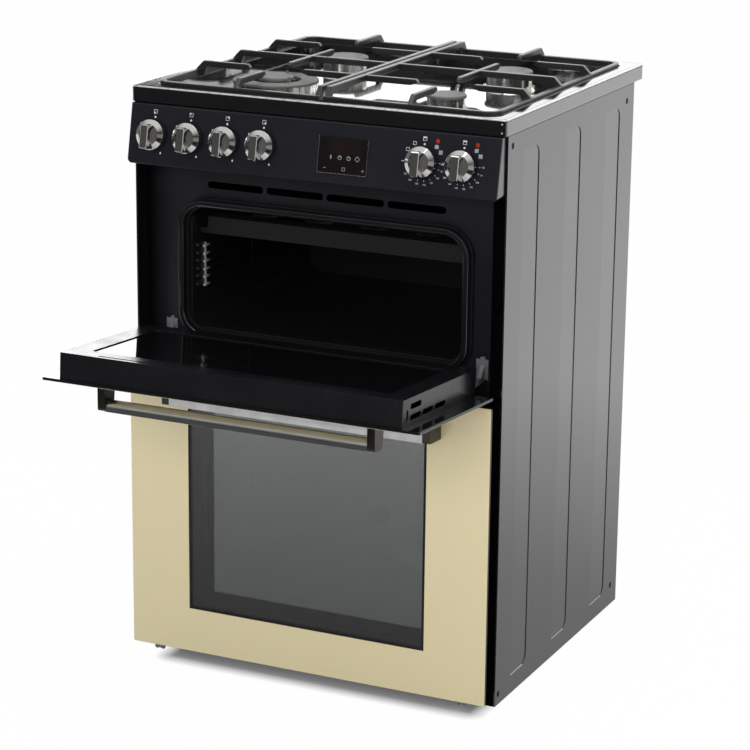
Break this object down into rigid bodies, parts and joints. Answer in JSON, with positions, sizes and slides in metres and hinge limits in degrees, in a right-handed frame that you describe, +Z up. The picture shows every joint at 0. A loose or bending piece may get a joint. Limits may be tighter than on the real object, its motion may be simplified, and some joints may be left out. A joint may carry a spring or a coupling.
{
  "type": "dual fuel range cooker",
  "caption": "Free-standing black and cream dual fuel cooker with gas hob, sloping knob panel, drop-down double oven doors and cast pan supports",
  "frame": {"origin": "floor level, midway between the two sides, and midway between the open upper door's front edge and the rear of the hob", "axes": "+X to the right seen from the front, +Y to the rear wall, +Z up"},
  "size_m": [0.6, 0.8264, 0.92],
  "materials": {
    "gloss_black_enamel": "gloss vitreous enamel",
    "satin_black_steel": "satin stoved paint",
    "oven_enamel": "easy clean gloss enamel",
    "zinc_steel": "zinc plated",
    "cast_support": "matt enamelled casting",
    "burner_alloy": "turned and polished",
    "cap_enamel": "matt grey enamel",
    "knob_chrome": "bright plated",
    "cream_glass": "back painted cream with a tinted window",
    "dark_glass": "tinted clear",
    "silver_bar": "satin anodised",
    "dark_chrome": "dark bright plated",
    "seal_rubber": "matt black",
    "heater_steel": "oxidised tube",
    "bright_wire": "bright plated wire",
    "tap_brass": "machined",
    "ceramic_white": "glazed ceramic",
    "neon_red": "clear red lens",
    "timer_black": "gloss black lens",
    "black_plastic": "moulded"
  },
  "bodies": {
    "cabinet": {"left_side_panel": "gloss_black_enamel", "right_side_panel": "gloss_black_enamel", "rear_panel": "zinc_steel", "base_pan": "zinc_steel", "levelling_feet": "black_plastic", "front_frame": "satin_black_steel", "upper_oven_seal": "seal_rubber", "lower_oven_seal": "seal_rubber", "upper_oven_cavity": "oven_enamel", "lower_oven_cavity": "oven_enamel", "shelf_runners": "bright_wire", "grill_element": "heater_steel", "grill_deflector": "zinc_steel", "fan_baffle": "oven_enamel", "ring_element": "heater_steel", "fan_motor": "zinc_steel", "terminal_box": "black_plastic", "control_fascia": "satin_black_steel", "timer_module": "timer_black", "neon_lamps": "neon_red", "gas_rail": "tap_brass", "oven_switches": "ceramic_white", "hob_top": "gloss_black_enamel", "burner_cups": "zinc_steel", "wok_crown": "burner_alloy", "wok_ring_cap": "cap_enamel", "spark_electrodes": "ceramic_white", "hinge_arms": "zinc_steel", "rear_left_crown": "burner_alloy", "front_right_crown": "burner_alloy", "rear_right_crown": "burner_alloy"},
    "upper_door": {"upper_door_outer_glass": "cream_glass", "upper_door_tray": "oven_enamel", "upper_door_inner_glass": "dark_glass", "upper_door_hinges": "zinc_steel", "upper_door_handle_bar": "silver_bar", "upper_door_handle_brackets": "dark_chrome"},
    "lower_door": {"lower_door_outer_glass": "cream_glass", "lower_door_tray": "oven_enamel", "lower_door_inner_glass": "dark_glass", "lower_door_hinges": "zinc_steel", "lower_door_handle_bar": "silver_bar", "lower_door_handle_brackets": "dark_chrome"},
    "gas_tap_1": {"gas_spindle_1": "tap_brass"},
    "gas_dial_1": {"gas_knob_1": "knob_chrome"},
    "gas_tap_2": {"gas_spindle_2": "tap_brass"},
    "gas_dial_2": {"gas_knob_2": "knob_chrome"},
    "gas_tap_3": {"gas_spindle_3": "tap_brass"},
    "gas_dial_3": {"gas_knob_3": "knob_chrome"},
    "gas_tap_4": {"gas_spindle_4": "tap_brass"},
    "gas_dial_4": {"gas_knob_4": "knob_chrome"},
    "oven_dial_1": {"oven_knob_1": "knob_chrome"},
    "oven_dial_2": {"oven_knob_2": "knob_chrome"},
    "fan": {"fan_blade": "zinc_steel"},
    "left_support": {"pan_support_left": "cast_support"},
    "right_support": {"pan_support_right": "cast_support"},
    "wok_lid": {"wok_cap": "cap_enamel"},
    "rear_left_lid": {"rear_left_cap": "cap_enamel"},
    "front_right_lid": {"front_right_cap": "cap_enamel"},
    "rear_right_lid": {"rear_right_cap": "cap_enamel"}
  },
  "joints": [
    {"name": "upper_door_hinge", "type": "hinge", "parent": "cabinet", "child": "upper_door", "pos_m": [0, -0.15194, 0.513], "axis": [1, 0, 0], "range_deg": [-86, 0]},
    {"name": "lower_door_hinge", "type": "hinge", "parent": "cabinet", "child": "lower_door", "pos_m": [0, -0.15194, 0.0294], "axis": [1, 0, 0], "range_deg": [0, 84]},
    {"name": "gas_push_1", "type": "slide", "parent": "cabinet", "child": "gas_tap_1", "axis": [0, 0.9816, -0.1907], "range_m": [0, 0.003], "stiffness_N_per_m": 900},
    {"name": "gas_turn_1", "type": "hinge", "parent": "gas_tap_1", "child": "gas_dial_1", "pos_m": [-0.255, -0.15634, 0.83375], "axis": [0, -0.9816, 0.1907], "range_deg": [0, 210]},
    {"name": "gas_push_2", "type": "slide", "parent": "cabinet", "child": "gas_tap_2", "axis": [0, 0.9816, -0.1907], "range_m": [0, 0.003], "stiffness_N_per_m": 900},
    {"name": "gas_turn_2", "type": "hinge", "parent": "gas_tap_2", "child": "gas_dial_2", "pos_m": [-0.195, -0.15634, 0.83375], "axis": [0, -0.9816, 0.1907], "range_deg": [0, 210]},
    {"name": "gas_push_3", "type": "slide", "parent": "cabinet", "child": "gas_tap_3", "axis": [0, 0.9816, -0.1907], "range_m": [0, 0.003], "stiffness_N_per_m": 900},
    {"name": "gas_turn_3", "type": "hinge", "parent": "gas_tap_3", "child": "gas_dial_3", "pos_m": [-0.135, -0.15634, 0.83375], "axis": [0, -0.9816, 0.1907], "range_deg": [0, 210]},
    {"name": "gas_push_4", "type": "slide", "parent": "cabinet", "child": "gas_tap_4", "axis": [0, 0.9816, -0.1907], "range_m": [0, 0.003], "stiffness_N_per_m": 900},
    {"name": "gas_turn_4", "type": "hinge", "parent": "gas_tap_4", "child": "gas_dial_4", "pos_m": [-0.075, -0.15634, 0.83375], "axis": [0, -0.9816, 0.1907], "range_deg": [0, 210]},
    {"name": "oven_turn_1", "type": "hinge", "parent": "cabinet", "child": "oven_dial_1", "pos_m": [0.18, -0.15634, 0.83375], "axis": [0, -0.9816, 0.1907], "range_deg": [-290, 0]},
    {"name": "oven_turn_2", "type": "hinge", "parent": "cabinet", "child": "oven_dial_2", "pos_m": [0.241, -0.15634, 0.83375], "axis": [0, -0.9816, 0.1907], "range_deg": [-290, 0]},
    {"name": "fan_spin", "type": "hinge", "parent": "cabinet", "child": "fan", "pos_m": [0, 0.29816, 0.2813], "axis": [0, 1, 0], "continuous": true},
    {"name": "left_support_lift", "type": "slide", "parent": "cabinet", "child": "left_support", "axis": [0, 0, 1], "range_m": [0, 0.1]},
    {"name": "right_support_lift", "type": "slide", "parent": "cabinet", "child": "right_support", "axis": [0, 0, 1], "range_m": [0, 0.1]},
    {"name": "wok_cap_lift", "type": "slide", "parent": "cabinet", "child": "wok_lid", "axis": [0, 0, 1], "range_m": [0, 0.03]},
    {"name": "rear_left_cap_lift", "type": "slide", "parent": "cabinet", "child": "rear_left_lid", "axis": [0, 0, 1], "range_m": [0, 0.03]},
    {"name": "front_right_cap_lift", "type": "slide", "parent": "cabinet", "child": "front_right_lid", "axis": [0, 0, 1], "range_m": [0, 0.03]},
    {"name": "rear_right_cap_lift", "type": "slide", "parent": "cabinet", "child": "rear_right_lid", "axis": [0, 0, 1], "range_m": [0, 0.03]}
  ]
}
